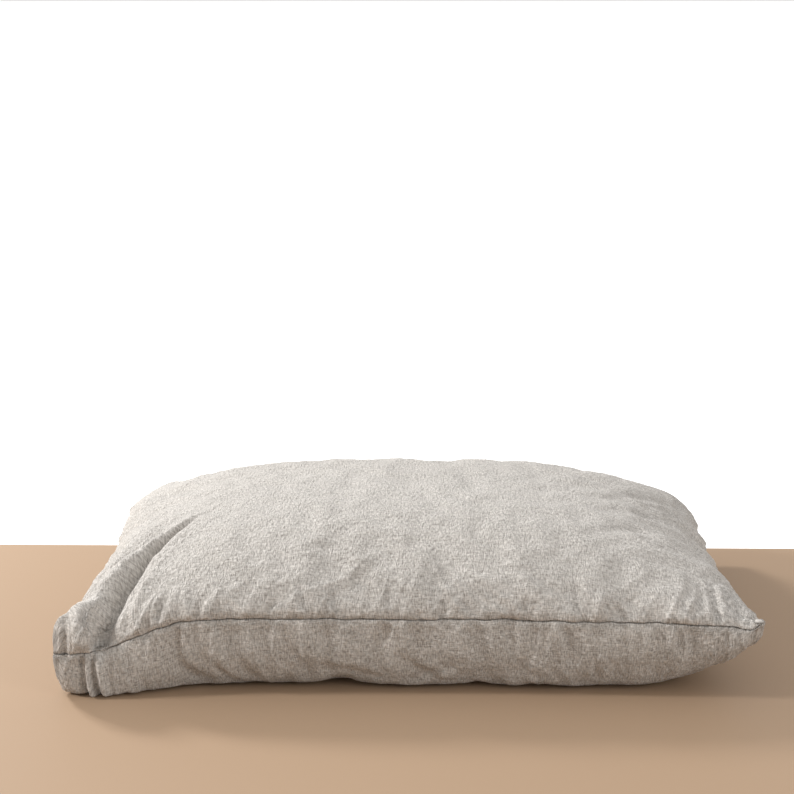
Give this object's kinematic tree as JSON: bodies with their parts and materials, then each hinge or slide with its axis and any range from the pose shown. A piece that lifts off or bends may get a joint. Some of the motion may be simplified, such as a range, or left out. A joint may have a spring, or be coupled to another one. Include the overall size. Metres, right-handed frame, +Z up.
{
  "type": "floor cushion",
  "caption": "Rectangular knife-edge floor cushion: a washed-linen cover with an envelope mouth at one end, over a plain sewn insert stuffed with loose fibre.",
  "frame": {"origin": "on the floor, under the middle of the cushion", "axes": "+X along the cushion away from its envelope mouth, +Y from the front long side to the back one, +Z up"},
  "size_m": [0.69, 0.5, 0.1581],
  "materials": {
    "washed_linen": "matte",
    "linen_thread": "matte",
    "label_tape": "satin",
    "cotton_casing": "matte",
    "casing_thread": "matte",
    "loose_fibre": "matte"
  },
  "bodies": {
    "root": {"cover_top_panel": "washed_linen", "cover_bottom_panel": "washed_linen", "envelope_flap": "washed_linen", "cover_needle_thread": "linen_thread", "cover_bobbin_thread": "linen_thread", "cover_overlock_thread": "linen_thread", "flap_seam_thread": "linen_thread", "mouth_hem_thread": "linen_thread", "flap_hem_thread": "linen_thread", "care_label": "label_tape", "insert_top_panel": "cotton_casing", "insert_bottom_panel": "cotton_casing", "insert_seam_thread": "casing_thread", "insert_closing_thread": "casing_thread", "insert_filling": "loose_fibre"}
  },
  "joints": []
}
